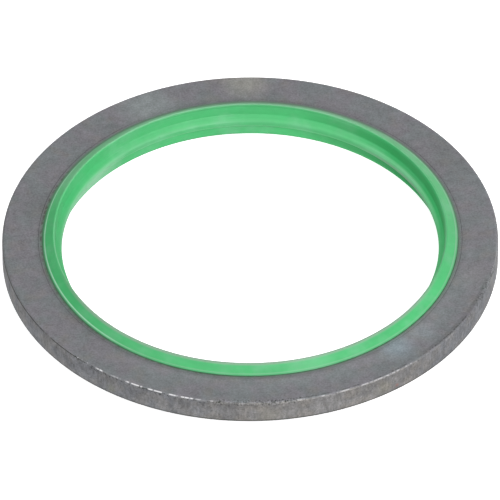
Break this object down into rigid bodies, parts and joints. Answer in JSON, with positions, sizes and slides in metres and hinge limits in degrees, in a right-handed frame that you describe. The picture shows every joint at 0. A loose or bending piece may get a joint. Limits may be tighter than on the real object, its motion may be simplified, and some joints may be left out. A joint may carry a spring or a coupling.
{
  "type": "bonded sealing washer",
  "caption": "Flat steel ring with a rubber seal bonded into its bore: a raised sealing bead on both faces and a thin centring lip.",
  "frame": {"origin": "on the ring's axis, in the plane of the lower sealing crest that the washer stands on", "axes": "+Z along the ring's axis, out of the face whose outer edge is rolled over"},
  "size_m": [0.03, 0.03, 0.0023],
  "materials": {
    "steel": "matt grey, blanked and tumbled, with a sheared edge",
    "rubber": "green, moulded, satin"
  },
  "bodies": {
    "root": {"steel_ring": "steel", "rubber_seal": "rubber"}
  },
  "joints": []
}
